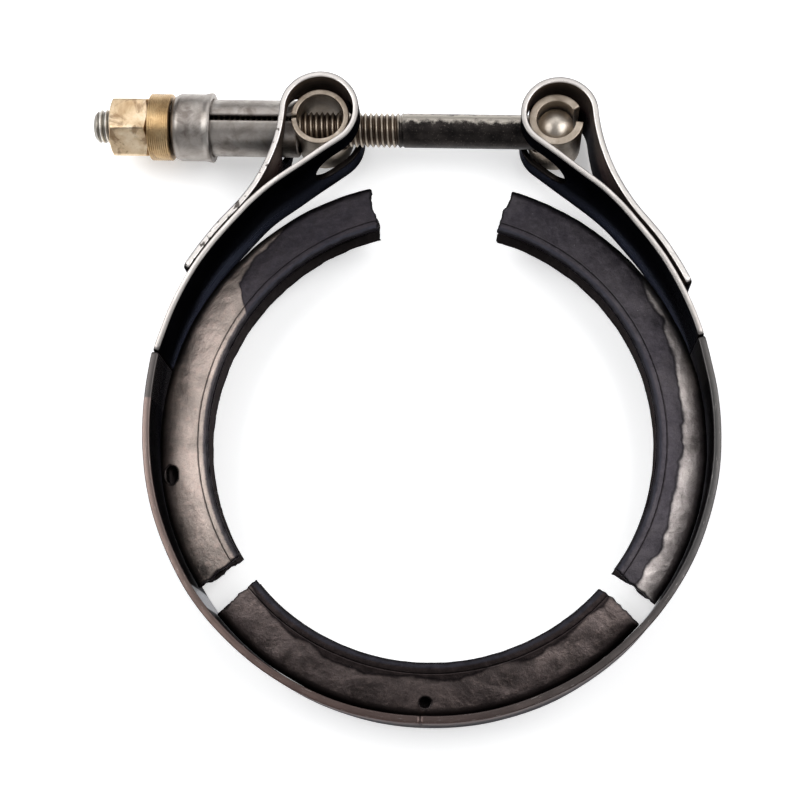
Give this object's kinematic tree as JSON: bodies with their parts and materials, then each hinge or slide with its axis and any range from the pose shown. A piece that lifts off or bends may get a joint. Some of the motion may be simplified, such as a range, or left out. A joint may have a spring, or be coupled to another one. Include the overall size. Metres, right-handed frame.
{
  "type": "v-band pipe clamp",
  "caption": "Round steel V-band clamp: a hoop lined with V-section segments, closed by a trunnion T-bolt, sleeve, collar and hex nut.",
  "frame": {"origin": "centre of the ring, on the pipe axis, in the band's mid-plane", "axes": "+Z along the pipe axis, +Y from the ring's centre towards the T-bolt, +X towards the bolt's head, nut at the -X end"},
  "size_m": [0.1417, 0.1437, 0.022],
  "materials": {
    "hoop_steel": "heat-tinted stainless strip, pinkish brown",
    "v_steel": "rolled stainless sheet with brown and purple heat oxide",
    "strap_steel": "satin stainless strip",
    "barrel_steel": "turned steel, lightly tinted",
    "sleeve_steel": "polished drawn steel",
    "bolt_steel": "dark thread, bright head",
    "collar_plating": "yellow-brown plated steel, fine turned ridges",
    "nut_plating": "cream-gold plated steel"
  },
  "bodies": {
    "lower_arc": {"ring_band_bottom": "hoop_steel", "v_segment_bottom": "v_steel"},
    "left_arm": {"ring_band_left": "hoop_steel", "v_segment_left": "v_steel", "loop_strap_left": "strap_steel"},
    "right_arm": {"ring_band_right": "hoop_steel", "v_segment_right": "v_steel", "loop_strap_right": "strap_steel"},
    "trunnion": {"trunnion_barrel": "barrel_steel", "trunnion_sleeve": "sleeve_steel", "end_cap": "sleeve_steel"},
    "t_bolt": {"t_bolt": "bolt_steel", "bolt_barrel": "barrel_steel"},
    "nut_collar": {"nut_collar": "collar_plating"},
    "lock_nut": {"lock_nut": "nut_plating"}
  },
  "joints": [
    {"name": "left_flex", "type": "hinge", "parent": "lower_arc", "child": "left_arm", "pos_m": [-0.04784, -0.03711, 0], "axis": [0, 0, 1], "range_deg": [-4.2, 1.2]},
    {"name": "right_flex", "type": "hinge", "parent": "lower_arc", "child": "right_arm", "pos_m": [0.04784, -0.03711, 0], "axis": [0, 0, 1], "range_deg": [-1.2, 4.2]},
    {"name": "trunnion_turn", "type": "hinge", "parent": "left_arm", "child": "trunnion", "pos_m": [-0.0273, 0.0728, 0], "axis": [0, 0, 1], "range_deg": [-1.2, 4.2]},
    {"name": "t_bolt_turn", "type": "hinge", "parent": "right_arm", "child": "t_bolt", "pos_m": [0.026, 0.0728, 0], "axis": [0, 0, 1], "range_deg": [-4.2, 1.2]},
    {"name": "collar_slide", "type": "slide", "parent": "t_bolt", "child": "nut_collar", "axis": [1, 0, 0], "range_m": [-0.004, 0.0153]},
    {"name": "nut_spin", "type": "hinge", "parent": "nut_collar", "child": "lock_nut", "pos_m": [-0.0715, 0.0728, 0], "axis": [1, 0, 0], "range_deg": [-1080, 4320]}
  ],
  "couplings": [
    {"joint": "left_flex", "follows": "nut_spin", "ratio": -0.0009118},
    {"joint": "right_flex", "follows": "nut_spin", "ratio": 0.0009118},
    {"joint": "trunnion_turn", "follows": "nut_spin", "ratio": 0.0009118},
    {"joint": "t_bolt_turn", "follows": "nut_spin", "ratio": -0.0009118},
    {"joint": "collar_slide", "follows": "nut_spin", "m_per_rad": 0.00019894}
  ]
}
